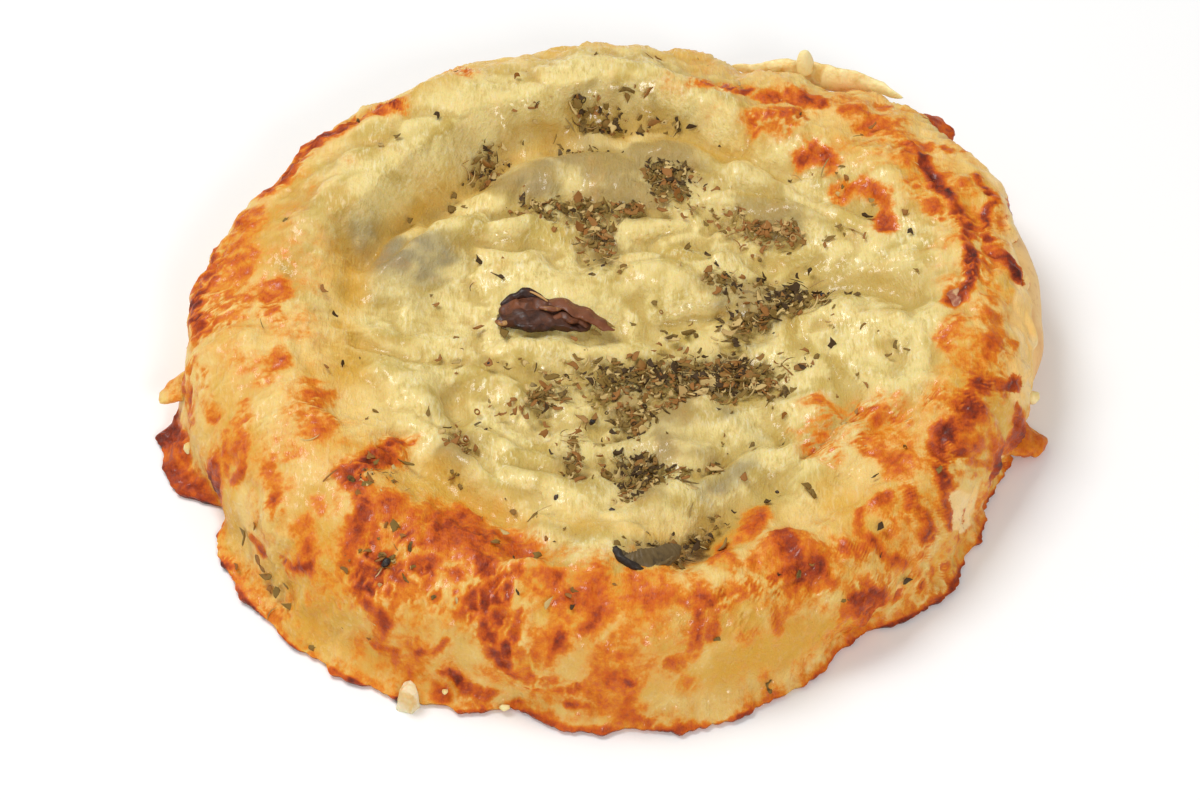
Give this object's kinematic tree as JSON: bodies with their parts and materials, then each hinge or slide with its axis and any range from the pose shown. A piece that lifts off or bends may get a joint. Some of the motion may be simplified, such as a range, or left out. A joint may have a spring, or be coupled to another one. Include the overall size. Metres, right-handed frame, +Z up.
{
  "type": "mini pizza",
  "caption": "Small round pizza: thick bread base with an uneven raised rim under a browned melted cheese blanket that runs out in a thin crisp skirt.",
  "frame": {"origin": "middle of the flat underside of the bread base", "axes": "+Z up out of the topping, +Y to the back, where the rim is highest, +X to the right seen from the front"},
  "size_m": [0.1182, 0.118, 0.0208],
  "materials": {
    "dough": "smooth baked crust, dry satin",
    "cheese": "melted cheese, browned in patches, satin to oily gloss",
    "olive": "dark wrinkled skin, moist",
    "mushroom": "dark cooked mushroom, moist satin",
    "ham": "baked ham, satin",
    "crumb": "dry crumb, matte",
    "shred": "unbrowned melted cheese, satin"
  },
  "bodies": {
    "root": {"dough": "dough", "cheese": "cheese", "olive": "olive", "mushroom_slice": "mushroom", "ham_scrap": "ham", "cheese_crumb": "crumb", "cheese_shred": "shred"}
  },
  "joints": []
}
